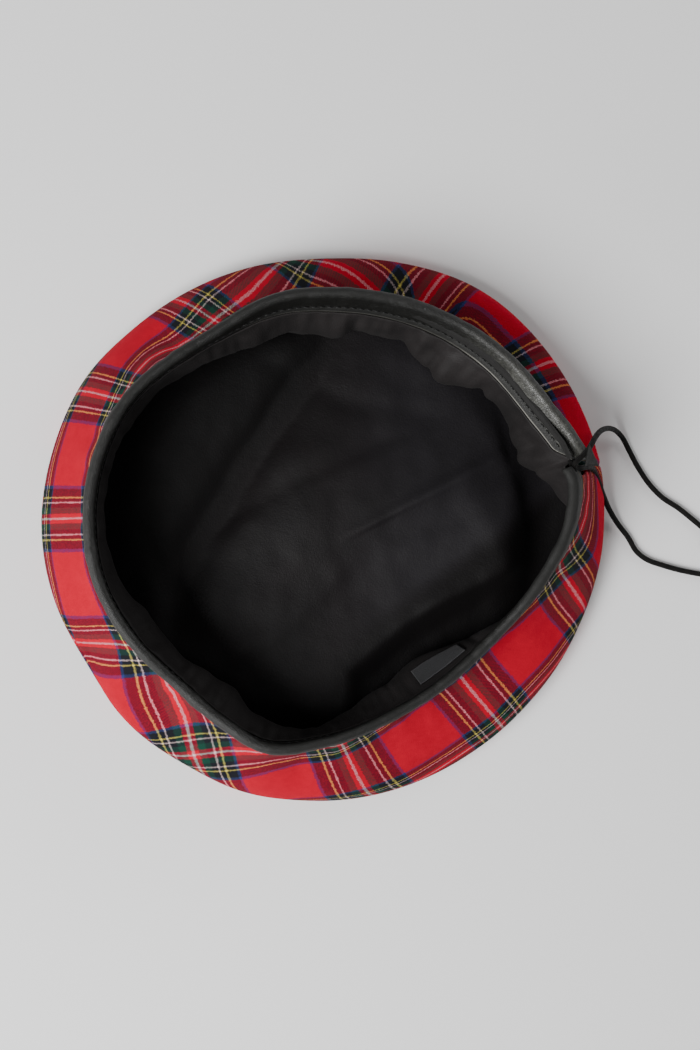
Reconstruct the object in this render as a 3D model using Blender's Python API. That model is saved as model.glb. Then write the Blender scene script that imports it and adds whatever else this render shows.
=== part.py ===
"""A tam o' shanter of tartan cloth, lying on its crown with the opening up.

Metres, +Z up. The wearer's back, where the drawstring leaves, points along +X.
The resting face of the crown is at height 0, and the hat is centred on the Z axis.
"""
import math

import bmesh
import bpy
from mathutils import Vector

# Driving sizes, in metres
CROWN_REACH = 0.1195
RIM_REACH = 0.0965
SIDE_SLANT = 0.041
SEAM_HEIGHT = 0.009
CROWN_TURN = 0.012
CLOTH = 0.0015
LINING = 0.0010
LEATHER = 0.0010
BINDING_HEIGHT = 0.013
SEAM_BITE = 0.004
SIDE_FOLD = 0.004
LINING_PUFF = 0.014
LINING_LOFT = 0.009
LABEL_LENGTH = 0.026
LABEL_DEPTH = 0.011
CORD = 0.0024
KNOT = 0.0056
KNOT_FLATNESS = 0.72
CORD_POINT_SPACING = 2.0
GAP = 0.0003
SEAM_GAP = 0.0007
BINDING_SLACK = 0.00035

# Faces round the hat, and rows of faces along each piece's section
AROUND = 54
SIDE_ROWS = 8
CROWN_FLAT_ROWS = 2
CROWN_TURN_ROWS = 4
CROWN_LINING_ROWS = 7
SIDE_LINING_ROWS = 7
LEAF_ROWS = 2
ROLL_ROWS = 5
RUN_SIDES = 6
LABEL_COLUMNS = 6
LABEL_ROWS = 3

# One row for each section of the hat, going round from the back of the head.
# azimuth and lean are in degrees, crown and rim are shares of their reach, puff is a
# share of LINING_PUFF.
SECTION_COLUMNS = ("azimuth", "crown", "rim", "lean", "puff")
SECTIONS = (
    (0, 1.021, 1.010, -10, 0.2),
    (10, 1.035, 1.050, 0, 0.4),
    (19, 1.041, 1.012, 26, 0.8),
    (30, 1.042, 0.958, 42, 0.9),
    (45, 1.042, 0.949, 34, 0.9),
    (60, 1.039, 0.940, 28, 1.3),
    (75, 1.010, 0.933, 26, 0.4),
    (90, 0.989, 0.935, 24, 1.1),
    (105, 0.988, 0.958, 18, 1.1),
    (122, 0.993, 0.958, 3, 0.4),
    (135, 0.999, 0.983, 0, 0.3),
    (150, 1.017, 1.030, 0, 0.3),
    (165, 1.017, 1.043, 2, 0.2),
    (180, 1.017, 1.045, 2, 0.3),
    (195, 1.004, 1.030, 2, 0.5),
    (210, 0.983, 0.994, 0, 0.7),
    (225, 0.995, 0.957, 0, 0.8),
    (240, 0.988, 0.972, -2, 0.8),
    (252, 0.995, 0.990, 0, 0.6),
    (265, 0.988, 0.939, -4, 0.3),
    (285, 0.984, 0.877, -10, 0.7),
    (305, 0.983, 0.854, -12, 1.0),
    (325, 0.996, 0.866, -12, 0.8),
    (345, 1.010, 0.941, -12, 0.4),
)

# Dents and ridges of the side cloth. azimuth and spread are in degrees, up and span are
# shares of SIDE_SLANT from the crown's seam, height is a share of SIDE_FOLD.
SIDE_FOLD_COLUMNS = ("azimuth", "spread", "up", "span", "height")
SIDE_FOLDS = (
    (52, 9, 0.25, 0.25, 0.35),
    (60, 7, 0.70, 0.14, -0.70),
    (131, 6, 0.62, 0.30, -0.60),
    (144, 9, 0.35, 0.30, 0.30),
    (207, 5, 0.20, 0.30, -0.50),
    (219, 7, 0.30, 0.30, 0.45),
    (262, 6, 0.55, 0.25, -0.40),
    (276, 12, 0.30, 0.16, 0.50),
    (294, 8, 0.26, 0.10, -0.40),
    (339, 7, 0.45, 0.25, -0.45),
    (352, 8, 0.30, 0.25, 0.30),
)

# Soft ridges and valleys of the crown lining. x, y, length and width are shares of
# CROWN_REACH, heading is in degrees, height is a share of LINING_LOFT.
FOLD_COLUMNS = ("x", "y", "heading", "length", "width", "height")
CROWN_LINING_FOLDS = (
    (0.27, 0.11, 15, 0.42, 0.20, 0.70),
    (-0.27, 0.22, 60, 0.50, 0.07, -0.40),
    (-0.45, 0.05, 75, 0.40, 0.16, 0.25),
    (0.40, -0.27, 33, 0.30, 0.07, 0.35),
    (0.08, -0.60, 95, 0.16, 0.07, 0.40),
    (0.52, -0.42, 40, 0.25, 0.08, -0.30),
    (0.45, 0.16, 27, 0.30, 0.04, 0.20),
)
LINING_REST = 0.40
LINING_REACH = 0.90

# Where the crown lining's folds fade out towards its edge, as shares of its reach
FOLDS_FULL = 0.55
FOLDS_GONE = 0.85

# Handles of the smooth lines: how far the side cloth rises straight from the seam and
# arrives straight at the binding, as shares of SIDE_SLANT, and how far the side lining
# goes in and down, as shares of its puff and of its drop
SIDE_LEAVES_SEAM = 0.20
SIDE_MEETS_BINDING = 0.30
LINING_BULGE = ((0.8, 0.45), (1.8, 1.0))

# The side cloth's folds grow from the crown's seam and end below the binding, as shares
# of SIDE_SLANT
FOLDS_GROW = 0.20
FOLDS_HELD = 0.92
FOLDS_RELEASE = 0.20

# The binding is an open strip whose two ends meet at the back, in degrees
BINDING_START = 15.8
BINDING_END = 372.2
LABEL_AZIMUTH = 308.5
LABEL_TOP = 0.06

# Corners of the leather tab over the drawstring's way out, from the middle of the joint:
# out from the hat, onwards round it and up, as shares of BINDING_HEIGHT
TAB_CORNERS = ((0.49, 0.45, 0.24), (0.18, -0.18, 0.27), (0.66, -0.30, 0.08))

# Routes of the drawstring's two free ends, from the binding's mouth to the knot
UPPER_ROUTE = (
    (0.0991, 0.0218, 0.0525),
    (0.0988, 0.0238, 0.0528),
    (0.0999, 0.0260, 0.0530),
    (0.1024, 0.0283, 0.0525),
    (0.1053, 0.0309, 0.0512),
    (0.1078, 0.0338, 0.0485),
    (0.1104, 0.0366, 0.0443),
    (0.1136, 0.0393, 0.0386),
    (0.1175, 0.0416, 0.0314),
    (0.1220, 0.0433, 0.0232),
    (0.1268, 0.0443, 0.0150),
    (0.1318, 0.0440, 0.0076),
    (0.1362, 0.0415, 0.0030),
    (0.1392, 0.0370, 0.0015),
    (0.1416, 0.0325, 0.0013),
    (0.1441, 0.0280, 0.0013),
    (0.1490, 0.0208, 0.0013),
    (0.1553, 0.0145, 0.0013),
    (0.1630, 0.0096, 0.0013),
    (0.1706, 0.0037, 0.0013),
    (0.1762, -0.0010, 0.0015),
)
LOWER_ROUTE = (
    (0.0981, 0.0268, 0.0506),
    (0.0987, 0.0249, 0.0500),
    (0.1004, 0.0239, 0.0485),
    (0.1036, 0.0240, 0.0462),
    (0.1068, 0.0246, 0.0425),
    (0.1098, 0.0252, 0.0375),
    (0.1128, 0.0254, 0.0318),
    (0.1155, 0.0248, 0.0262),
    (0.1180, 0.0228, 0.0215),
    (0.1212, 0.0184, 0.0168),
    (0.1250, 0.0135, 0.0108),
    (0.1290, 0.0085, 0.0055),
    (0.1337, 0.0026, 0.0022),
    (0.1389, -0.0037, 0.0013),
    (0.1427, -0.0100, 0.0013),
    (0.1480, -0.0140, 0.0013),
    (0.1553, -0.0165, 0.0013),
    (0.1630, -0.0186, 0.0013),
    (0.1706, -0.0201, 0.0013),
    (0.1765, -0.0210, 0.0015),
)

# Colours as linear red, green and blue
COLOURS = {
    "tartan": (0.55, 0.03, 0.04),
    "lining": (0.020, 0.020, 0.024),
    "leather": (0.018, 0.017, 0.016),
    "label": (0.035, 0.035, 0.038),
    "cord": (0.014, 0.013, 0.012),
}
ROUGHNESS = {"tartan": 0.9, "lining": 0.8, "leather": 0.45, "label": 0.7, "cord": 0.75}


def between_rows(azimuth):
    """Every column of SECTIONS at one azimuth, on a smooth closed curve."""
    azimuth %= 360
    rows = [(SECTIONS[-1][0] - 360,) + SECTIONS[-1][1:], *SECTIONS]
    rows += [(row[0] + 360,) + row[1:] for row in SECTIONS[:2]]
    index = max(i for i in range(1, len(rows) - 2) if rows[i][0] <= azimuth)
    before, start, end, after = rows[index - 1:index + 3]
    span = end[0] - start[0]
    t = (azimuth - start[0]) / span
    values = {}
    for column, name in enumerate(SECTION_COLUMNS[1:], 1):
        slope_start = (end[column] - before[column]) / (end[0] - before[0]) * span
        slope_end = (after[column] - start[column]) / (after[0] - start[0]) * span
        values[name] = (
            start[column] * (1 + 2 * t) * (1 - t) ** 2
            + slope_start * t * (1 - t) ** 2
            + end[column] * t * t * (3 - 2 * t)
            + slope_end * t * t * (t - 1)
        )
    return values


def outline_middle():
    """The middle of the crown's outline, so that the hat can be centred on the Z axis."""
    points = []
    for step in range(AROUND):
        azimuth = step * 360 / AROUND
        reach = between_rows(azimuth)["crown"] * CROWN_REACH
        points.append((reach * math.cos(math.radians(azimuth)), reach * math.sin(math.radians(azimuth))))
    return [(min(axis) + max(axis)) / 2 for axis in zip(*points)]


MIDDLE = outline_middle()


def place(azimuth, reach, height):
    """A point in the hat's frame, from its azimuth in degrees, its reach and its height."""
    turn = math.radians(azimuth)
    return Vector((reach * math.cos(turn) - MIDDLE[0], reach * math.sin(turn) - MIDDLE[1], height))


def bezier(points, t):
    """A point on the cubic curve with these four control points."""
    a, b, c, d = points
    return a * (1 - t) ** 3 + b * 3 * t * (1 - t) ** 2 + c * 3 * t * t * (1 - t) + d * t ** 3


class Section:
    """The hat cut at one azimuth: reach and height of the lines that the pieces follow."""

    def __init__(self, azimuth):
        values = between_rows(azimuth)
        self.azimuth = azimuth
        self.crown = values["crown"] * CROWN_REACH
        self.puff = max(values["puff"], 0) * LINING_PUFF
        lean = math.radians(values["lean"])
        self.up = Vector((math.sin(lean), math.cos(lean)))
        self.out = Vector((math.cos(lean), -math.sin(lean)))
        rim = values["rim"] * RIM_REACH
        run = self.crown - rim
        rise = math.sqrt(max(SIDE_SLANT ** 2 - run ** 2, 0))
        self.base = Vector((rim, SEAM_HEIGHT + rise))

    def at(self, point):
        return place(self.azimuth, point.x, point.y)

    def side_path(self, share):
        """The smooth line of the side cloth, from the crown's seam up into the binding."""
        cloth_share = SIDE_SLANT / (SIDE_SLANT + SEAM_BITE)
        if share > cloth_share:
            return self.base + self.up * SEAM_BITE * (share - cloth_share) / (1 - cloth_share)
        seam = Vector((self.crown, SEAM_HEIGHT + SEAM_GAP / 2))
        first = seam + Vector((0, SIDE_LEAVES_SEAM)) * SIDE_SLANT
        last = self.base - self.up * SIDE_MEETS_BINDING * SIDE_SLANT
        return bezier((seam, first, last, self.base), share / cloth_share)

    def side(self, share):
        """The middle of the side cloth with its dents and ridges."""
        step = 0.01
        way = self.side_path(min(share + step, 1)) - self.side_path(max(share - step, 0))
        outward = Vector((way.y, -way.x)).normalized()
        up = share * (1 + SEAM_BITE / SIDE_SLANT)
        lift = 0.0
        for row in SIDE_FOLDS:
            fold = dict(zip(SIDE_FOLD_COLUMNS, row))
            round_hat = (self.azimuth - fold["azimuth"] + 180) % 360 - 180
            away = (round_hat / fold["spread"]) ** 2 + ((up - fold["up"]) / fold["span"]) ** 2
            lift += fold["height"] * math.exp(-away)
        held = min(1.0, up / FOLDS_GROW) * min(1.0, max(0.0, (FOLDS_HELD - up) / FOLDS_RELEASE))
        return self.side_path(share) + outward * lift * held * SIDE_FOLD

    def binding(self, share):
        """The middle of the leather, from its outer leaf's edge over the roll and down inside."""
        radius = (binding_room() + LEATHER) / 2
        leaf = BINDING_HEIGHT - radius - LEATHER / 2
        rows = 2 * LEAF_ROWS + ROLL_ROWS
        row = share * rows
        if row <= LEAF_ROWS:
            along, across = leaf * row / LEAF_ROWS, radius
        elif row >= LEAF_ROWS + ROLL_ROWS:
            along, across = leaf * (rows - row) / LEAF_ROWS, -radius
        else:
            turn = math.pi * (row - LEAF_ROWS) / ROLL_ROWS
            along, across = leaf + radius * math.sin(turn), radius * math.cos(turn)
        return self.base + self.up * along + self.out * across

    def tunnel(self):
        """The middle of the drawstring inside the binding."""
        height = BINDING_HEIGHT - LEATHER - GAP - run_height() / 2 - GAP
        return self.base + self.up * height

    def lining(self, share):
        """The middle of the side lining, from under the binding down onto the crown lining."""
        top = self.base - self.up * (GAP + LINING / 2) - self.out * (binding_room() + LEATHER) / 2
        foot = Vector((LINING_REACH * self.crown, CLOTH + GAP + LINING + GAP + LINING / 2))
        drop = top.y - foot.y
        first, last = (top - Vector((inward * self.puff, down * drop)) for inward, down in LINING_BULGE)
        return bezier((top, first, last, foot), share)


def binding_room():
    """The clear width inside the binding."""
    return CLOTH + 2 * BINDING_SLACK


def run_height():
    """Height of the drawstring where the binding flattens it, which keeps its girth."""
    return CORD * CORD / (binding_room() - 2 * GAP)


def clear_scene():
    for item in list(bpy.data.objects):
        bpy.data.objects.remove(item)


def material(name):
    """A plain Principled material in one of the hat's colours."""
    found = bpy.data.materials.get(name)
    if found:
        return found
    made = bpy.data.materials.new(name)
    made.use_nodes = True
    shader = made.node_tree.nodes["Principled BSDF"]
    shader.inputs["Base Color"].default_value = (*COLOURS[name], 1)
    shader.inputs["Roughness"].default_value = ROUGHNESS[name]
    return made


def finish(name, bm, finish_name, wall=0.0):
    """Turns a bmesh into a node: an object with its material and, on a sheet, its wall."""
    bmesh.ops.remove_doubles(bm, verts=bm.verts, dist=0.00001)
    bmesh.ops.recalc_face_normals(bm, faces=bm.faces)
    mesh = bpy.data.meshes.new(name)
    bm.to_mesh(mesh)
    bm.free()
    mesh.shade_smooth()
    mesh.materials.append(material(finish_name))
    made = bpy.data.objects.new(name, mesh)
    bpy.context.collection.objects.link(made)
    if wall:
        solid = made.modifiers.new("wall", "SOLIDIFY")
        solid.thickness = wall
        solid.offset = 0
        solid.use_even_offset = True
    return made


def bent_grid(columns, rows, bend):
    """A flat grid bent by a function of its share across and its share along."""
    bm = bmesh.new()
    bmesh.ops.create_grid(bm, x_segments=columns, y_segments=rows, size=0.5)
    for vertex in bm.verts:
        vertex.co = bend(vertex.co.x + 0.5, vertex.co.y + 0.5)
    return bm


def azimuths(start=0, end=360):
    """Where the pieces are cut, in degrees: the same places for all of them, and the two ends."""
    step = 360 / AROUND
    inner = [k * step for k in range(2 * AROUND) if start + step / 3 < k * step < end - step / 3]
    return [start, *inner, end]


def round_the_hat(cuts, rows, point):
    """A sheet that runs round the hat, bent to a line of its sections."""
    sections = [Section(azimuth) for azimuth in cuts]
    last = len(cuts) - 1
    return bent_grid(last, rows, lambda across, along: point(sections[round(across * last)], along))


def crown_panel():
    """The crown's cloth: flat where it rests, then turned up to the seam."""
    rows = CROWN_FLAT_ROWS + CROWN_TURN_ROWS
    flat_height = CLOTH / 2
    seam_height = SEAM_HEIGHT - SEAM_GAP / 2

    def point(section, share):
        flat = section.crown - CROWN_TURN
        row = share * rows
        if row <= CROWN_FLAT_ROWS:
            return section.at(Vector((flat * row / CROWN_FLAT_ROWS, flat_height)))
        turn = (row - CROWN_FLAT_ROWS) / CROWN_TURN_ROWS * math.pi / 2
        reach = flat + CROWN_TURN * math.sin(turn)
        return section.at(Vector((reach, flat_height + (seam_height - flat_height) * (1 - math.cos(turn)))))

    return finish("crown_panel", round_the_hat(azimuths(), rows, point), "tartan", CLOTH)


def side_band():
    """The tartan ring between the crown's seam and the opening."""
    bm = round_the_hat(azimuths(), SIDE_ROWS, lambda section, share: section.at(section.side(share)))
    return finish("side_band", bm, "tartan", CLOTH)


def lining_height(x, y):
    """Height of the crown lining's middle over the floor, with its soft folds."""
    loft = LINING_REST
    for row in CROWN_LINING_FOLDS:
        fold = dict(zip(FOLD_COLUMNS, row))
        heading = math.radians(fold["heading"])
        dx, dy = x / CROWN_REACH - fold["x"], y / CROWN_REACH - fold["y"]
        along = (dx * math.cos(heading) + dy * math.sin(heading)) / fold["length"]
        across = (dy * math.cos(heading) - dx * math.sin(heading)) / fold["width"]
        loft += fold["height"] * math.exp(-along * along - across * across)
    return max(loft, 0) * LINING_LOFT


def crown_lining():
    """The lining that lies loosely over the crown inside the hat."""
    lowest = CLOTH + GAP + LINING / 2

    def point(section, share):
        flat = place(section.azimuth, section.crown * LINING_REACH * share, lowest)
        margin = min(1.0, max(0.0, (FOLDS_GONE - share) / (FOLDS_GONE - FOLDS_FULL)))
        fade = margin * margin * (3 - 2 * margin)
        return flat + Vector((0, 0, lining_height(flat.x, flat.y) * fade))

    bm = round_the_hat(azimuths(), CROWN_LINING_ROWS, point)
    return finish("crown_lining", bm, "lining", LINING)


def side_lining():
    """The lining that hangs loosely from the binding and lies on the crown lining."""
    bm = round_the_hat(
        azimuths(), SIDE_LINING_ROWS, lambda section, share: section.at(section.lining(share))
    )
    return finish("side_lining", bm, "lining", LINING)


def binding():
    """The leather strip folded over the opening's edge, hollow for the drawstring."""
    bm = round_the_hat(
        azimuths(BINDING_START, BINDING_END), 2 * LEAF_ROWS + ROLL_ROWS,
        lambda section, share: section.at(section.binding(share)),
    )
    return finish("binding", bm, "leather", LEATHER)


def drawstring_run():
    """The stretch of the drawstring inside the binding, pressed flat by it."""
    half_width = binding_room() / 2 - GAP
    half_height = run_height() / 2

    def point(section, share):
        turn = 2 * math.pi * share
        middle = section.tunnel()
        return section.at(
            middle + section.up * half_height * math.cos(turn) + section.out * half_width * math.sin(turn)
        )

    bm = round_the_hat(azimuths(BINDING_START, BINDING_END), RUN_SIDES, point)
    bmesh.ops.remove_doubles(bm, verts=bm.verts, dist=0.00001)
    ends = [edge for edge in bm.edges if edge.is_boundary]
    bmesh.ops.holes_fill(bm, edges=ends)
    return finish("drawstring_run", bm, "cord")


def care_label():
    """A bare cloth label that lies on the side lining, tucked under the binding."""
    middle = Section(LABEL_AZIMUTH)
    steps = 20
    path = [middle.lining(step / steps) for step in range(steps + 1)]
    length = sum((b - a).length for a, b in zip(path, path[1:]))
    half_turn = math.degrees(LABEL_LENGTH / 2 / middle.base.x)
    stand_off = LINING + GAP

    def bend(across, along):
        section = Section(LABEL_AZIMUTH + (2 * across - 1) * half_turn)
        share = LABEL_TOP + along * LABEL_DEPTH / length
        way = section.lining(share + 0.01) - section.lining(share - 0.01)
        inward = Vector((way.y, -way.x)).normalized()
        return section.at(section.lining(share) + inward * stand_off)

    return finish("care_label", bent_grid(LABEL_COLUMNS, LABEL_ROWS, bend), "label", LINING)


def binding_tab():
    """The turned-back corner of leather that covers the drawstring's way out."""
    joint = Section((BINDING_START + BINDING_END - 360) / 2)
    turn = math.radians(joint.azimuth)
    outward = Vector((math.cos(turn), math.sin(turn), 0))
    onward = Vector((-math.sin(turn), math.cos(turn), 0))
    bm = bmesh.new()
    bmesh.ops.create_circle(bm, cap_ends=True, segments=len(TAB_CORNERS), radius=BINDING_HEIGHT)
    for vertex, (out, on, up) in zip(list(bm.verts), TAB_CORNERS):
        offset = outward * out + onward * on + Vector((0, 0, up))
        vertex.co = joint.at(joint.tunnel()) + offset * BINDING_HEIGHT
    return finish("binding_tab", bm, "leather", LEATHER)


def smooth_route(points, spacing):
    """Evenly spread points on a smooth curve through a route's own points."""
    steps = 8
    route = [Vector(point) for point in points]
    ends = [2 * route[0] - route[1], *route, 2 * route[-1] - route[-2]]
    fine = []
    for a, b, c, d in zip(ends, ends[1:], ends[2:], ends[3:]):
        for step in range(steps):
            t = step / steps
            fine.append(0.5 * (2 * b + (c - a) * t + (2 * a - 5 * b + 4 * c - d) * t * t
                               + (3 * b - a - 3 * c + d) * t ** 3))
    fine.append(route[-1])
    distances = [0.0]
    for a, b in zip(fine, fine[1:]):
        distances.append(distances[-1] + (b - a).length)
    count = max(2, round(distances[-1] / spacing))
    even = []
    for step in range(count + 1):
        wanted = distances[-1] * step / count
        index = max(i for i in range(len(fine) - 1) if distances[i] <= wanted)
        share = (wanted - distances[index]) / (distances[index + 1] - distances[index])
        even.append(fine[index].lerp(fine[index + 1], min(share, 1)))
    return even


def cord(name, route):
    """One free end of the drawstring: a round tube along its route."""
    points = smooth_route(route, CORD_POINT_SPACING * CORD)
    curve = bpy.data.curves.new(name, "CURVE")
    curve.dimensions = "3D"
    curve.bevel_depth = CORD / 2
    curve.bevel_resolution = 2
    curve.use_fill_caps = True
    curve.render_resolution_u = 0
    spline = curve.splines.new("POLY")
    spline.points.add(len(points) - 1)
    for target, point in zip(spline.points, points):
        target.co = (*point, 1)
    curve.materials.append(material("cord"))
    made = bpy.data.objects.new(name, curve)
    bpy.context.collection.objects.link(made)
    return made


def knot(name, route):
    """The knot that ends a free end, a low round lump on the floor."""
    last, before = Vector(route[-1]), Vector(route[-2])
    way = (last - before).normalized()
    bm = bmesh.new()
    bmesh.ops.create_icosphere(bm, subdivisions=2, radius=KNOT / 2)
    bmesh.ops.scale(bm, verts=bm.verts, vec=(1, 1, KNOT_FLATNESS))
    middle = last + way * (KNOT / 2 + GAP)
    height = KNOT / 2 * KNOT_FLATNESS + GAP / 3
    bmesh.ops.translate(bm, verts=bm.verts, vec=(middle.x, middle.y, height))
    return finish(name, bm, "cord")


def main():
    clear_scene()
    crown_panel()
    side_band()
    crown_lining()
    side_lining()
    binding()
    drawstring_run()
    binding_tab()
    care_label()
    for end, route in (("upper", UPPER_ROUTE), ("lower", LOWER_ROUTE)):
        cord(f"drawstring_{end}", route)
        knot(f"knot_{end}", route)


main()
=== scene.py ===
"""The looks of a tam o' shanter of red tartan cloth that lies on its crown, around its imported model."""
import math

import bmesh
import bpy
from mathutils import Matrix, Vector, noise


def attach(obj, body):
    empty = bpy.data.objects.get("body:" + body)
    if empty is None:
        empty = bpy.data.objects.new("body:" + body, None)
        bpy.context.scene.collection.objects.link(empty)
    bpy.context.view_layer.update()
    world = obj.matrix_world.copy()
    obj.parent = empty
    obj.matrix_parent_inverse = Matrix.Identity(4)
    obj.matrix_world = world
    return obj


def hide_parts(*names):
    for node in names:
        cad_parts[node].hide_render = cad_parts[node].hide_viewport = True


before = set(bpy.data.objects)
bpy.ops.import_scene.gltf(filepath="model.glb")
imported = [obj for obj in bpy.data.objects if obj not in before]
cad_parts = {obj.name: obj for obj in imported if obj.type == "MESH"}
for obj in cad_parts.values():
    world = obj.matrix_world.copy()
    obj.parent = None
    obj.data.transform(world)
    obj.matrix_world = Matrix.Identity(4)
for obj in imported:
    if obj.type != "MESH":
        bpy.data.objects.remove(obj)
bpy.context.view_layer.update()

bl_info = {
    "name": "Tartan tam o' shanter",
    "version": (1, 0, 0),
    "blender": (4, 5, 0),
    "location": "3D View > Sidebar > Tam",
    "description": "Cloth, lining, leather and drawstring of a tam o' shanter",
    "category": "Object",
}

# The sizes of the part, in metres, with a knot's height as a share of its width
CROWN_REACH = 0.1195
RIM_REACH = 0.0965
SIDE_SLANT = 0.041
SEAM_HEIGHT = 0.009
CROWN_TURN = 0.012
CLOTH = 0.0015
LINING = 0.0010
LEATHER = 0.0010
BINDING_HEIGHT = 0.013
BINDING_SLACK = 0.00035
SEAM_BITE = 0.004
SIDE_FOLD = 0.004
LINING_PUFF = 0.014
LINING_LOFT = 0.009
LABEL_LENGTH = 0.026
LABEL_DEPTH = 0.011
LABEL_CLOTH = 0.0004
CORD = 0.0024
KNOT = 0.0056
KNOT_FLATNESS = 0.72
GAP = 0.0003
LINING_WALL = LINING * 0.6
MERGE = 0.000005

# Where the middle of the crown's outline, which the part puts on the Z axis, lies among the sections
MIDDLE = (0.000393, 0.000280)

# One row for each section of the hat, going round from the back of the head: azimuth in
# degrees, crown and rim as shares of their reach, the binding's lean in degrees, and the
# side lining's puff as a share of LINING_PUFF. The rows that are close together hold the
# sharp change of lean at the binding's joint.
SECTIONS = (
    (0, 1.041, 1.049, -24, -0.8),
    (10, 1.055, 1.090, -28, 0.2),
    (13.6, 1.057, 1.084, -30, 0.3),
    (14.2, 1.058, 1.082, -30, 0.3),
    (15.0, 1.060, 1.056, 36, 0.5),
    (15.8, 1.060, 1.052, 40, 0.6),
    (19, 1.062, 1.035, 44, 0.75),
    (30, 1.064, 0.998, 44, 0.3),
    (45, 1.064, 0.988, 34, 0.5),
    (60, 1.053, 0.975, 28, 0.75),
    (75, 1.018, 0.955, 26, 0.4),
    (90, 0.989, 0.945, 24, 0.5),
    (105, 0.988, 0.958, 18, 0.5),
    (122, 0.993, 0.958, 3, 0.4),
    (135, 0.999, 0.983, 0, 0.3),
    (150, 1.017, 1.030, 0, 0.3),
    (165, 1.017, 1.043, 2, 0.2),
    (180, 1.017, 1.045, 2, 0.3),
    (195, 1.004, 1.030, 2, 0.5),
    (210, 0.983, 0.994, 0, 0.7),
    (225, 0.995, 0.957, 0, 0.8),
    (240, 0.988, 0.972, -2, 0.8),
    (252, 0.995, 0.990, 0, 0.6),
    (265, 0.988, 0.939, -4, 0.3),
    (285, 0.984, 0.877, -10, 0.7),
    (305, 0.983, 0.854, -12, 1.0),
    (325, 0.996, 0.872, -13, 0.2),
    (345, 1.020, 0.957, -17, -0.8),
)

# Dents and ridges of the side cloth. azimuth and spread are in degrees, up and span are
# shares of SIDE_SLANT from the crown's seam, height is a share of SIDE_FOLD.
FOLD_COLUMNS = ("azimuth", "spread", "up", "span", "height")
SIDE_FOLDS = (
    (52, 9, 0.25, 0.25, 0.35),
    (60, 7, 0.70, 0.14, -0.70),
    (131, 6, 0.62, 0.30, -0.60),
    (144, 9, 0.35, 0.30, 0.30),
    (207, 5, 0.20, 0.30, -0.50),
    (219, 7, 0.30, 0.30, 0.45),
    (262, 6, 0.55, 0.25, -0.40),
    (276, 12, 0.30, 0.16, 0.50),
    (294, 8, 0.26, 0.10, -0.40),
    (339, 7, 0.45, 0.25, -0.45),
    (352, 8, 0.30, 0.25, 0.30),
)

# Folds of the side lining. azimuth and spread are in degrees, up and span are shares of
# its line from the binding down, height is a share of LINING_PUFF.
LINING_FOLDS = (
    (68, 2.6, 0.34, 0.40, -0.24),
    (57, 1.5, 0.30, 0.30, -0.14),
    (52, 6.0, 0.50, 0.35, 0.38),
    (42, 1.8, 0.45, 0.35, -0.20),
    (35, 3.0, 0.45, 0.30, -0.08),
    (26, 3.0, 0.40, 0.35, 0.12),
    (22, 1.4, 0.35, 0.35, -0.08),
    (16, 2.4, 0.40, 0.35, 0.12),
    (10, 1.8, 0.40, 0.35, -0.12),
    (83, 1.6, 0.30, 0.35, -0.12),
    (88, 3.0, 0.35, 0.35, 0.14),
    (101, 3.0, 0.35, 0.30, -0.10),
    (112, 4.0, 0.35, 0.30, 0.10),
    (140, 5.0, 0.40, 0.30, -0.10),
    (205, 5.0, 0.40, 0.30, 0.12),
    (222, 4.0, 0.40, 0.30, -0.14),
    (238, 5.0, 0.35, 0.30, 0.12),
    (262, 5.0, 0.35, 0.30, -0.10),
    (282, 4.0, 0.40, 0.30, 0.06),
)

# Soft ridges and valleys of the crown lining. x, y, length and width are shares of
# CROWN_REACH, heading is in degrees, height is a share of LINING_LOFT.
LOFT_COLUMNS = ("x", "y", "heading", "length", "width", "height")
CROWN_LINING_FOLDS = (
    (0.25, 0.12, 15, 0.45, 0.26, 0.85),
    (-0.27, 0.22, 60, 0.50, 0.07, -0.40),
    (-0.10, -0.10, 60, 0.40, 0.20, 0.30),
    (0.40, -0.27, 33, 0.30, 0.07, 0.35),
    (0.52, -0.42, 40, 0.30, 0.10, -0.35),
    (0.45, 0.16, 27, 0.30, 0.04, 0.20),
)

# The crown lining: its height between the folds as a share of LINING_LOFT, how far it reaches
# and how large it was cut as shares of the crown's reach, and the shares of its own radius
# between which its folds fade out toward its edge
LINING_REST = 0.40
LINING_REACH = 0.90
FOLDS_FULL = 0.72
FOLDS_GONE = 0.93

# Creases of the crown lining as points in millimetres, with their height in millimetres
# and how far they fall away to the left and to the right of their way, in millimetres.
# Past its ends a crease runs straight on, by a share of its end stretch at most, and fades
# out over some millimetres.
CREASES = (
    (((-66, -42), (-60, -7), (-40, 25), (-6, 69), (6, 85)), -3.0, 8.0, 11.0),
    (((6, -92), (8, -62), (38, -38), (78, -18)), 6.0, 30.0, 6.0),
    (((86, -28), (88, -5), (84, 14)), 4.5, 24.0, 4.5),
    (((17, 0), (50, 17), (80, 32)), 0.9, 3.0, 1.2),
    (((-40, 5), (-10, 22), (30, 40)), -0.9, 6.0, 4.0),
    (((-50, -60), (-20, -45), (5, -20)), 0.8, 6.0, 5.0),
    (((-20, 70), (10, 55), (40, 50)), -0.8, 5.0, 6.0),
    (((30, -10), (55, -5), (75, 5)), 1.2, 6.0, 8.0),
)

CREASE_RUN_ON = 0.6
CREASE_FADE = 12

# The side cloth: how far it heads straight up from the crown's seam and straight on into the
# binding, and where its folds grow from the seam and die away again, as shares of SIDE_SLANT
SIDE_LEAVES_SEAM = 0.20
SIDE_MEETS_BINDING = 0.30
FOLDS_GROW = 0.20
FOLDS_HELD = 0.92
FOLDS_RELEASE = 0.20

# The crown's seam in metres: how far the cloth is tucked in, how round it folds there and the
# air between the two cloths
SEAM_TUCK = 0.004
SEAM_FOLD = 0.0008
SEAM_RISE = 0.0006
SEAM_CLEAR = 0.0001

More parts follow.
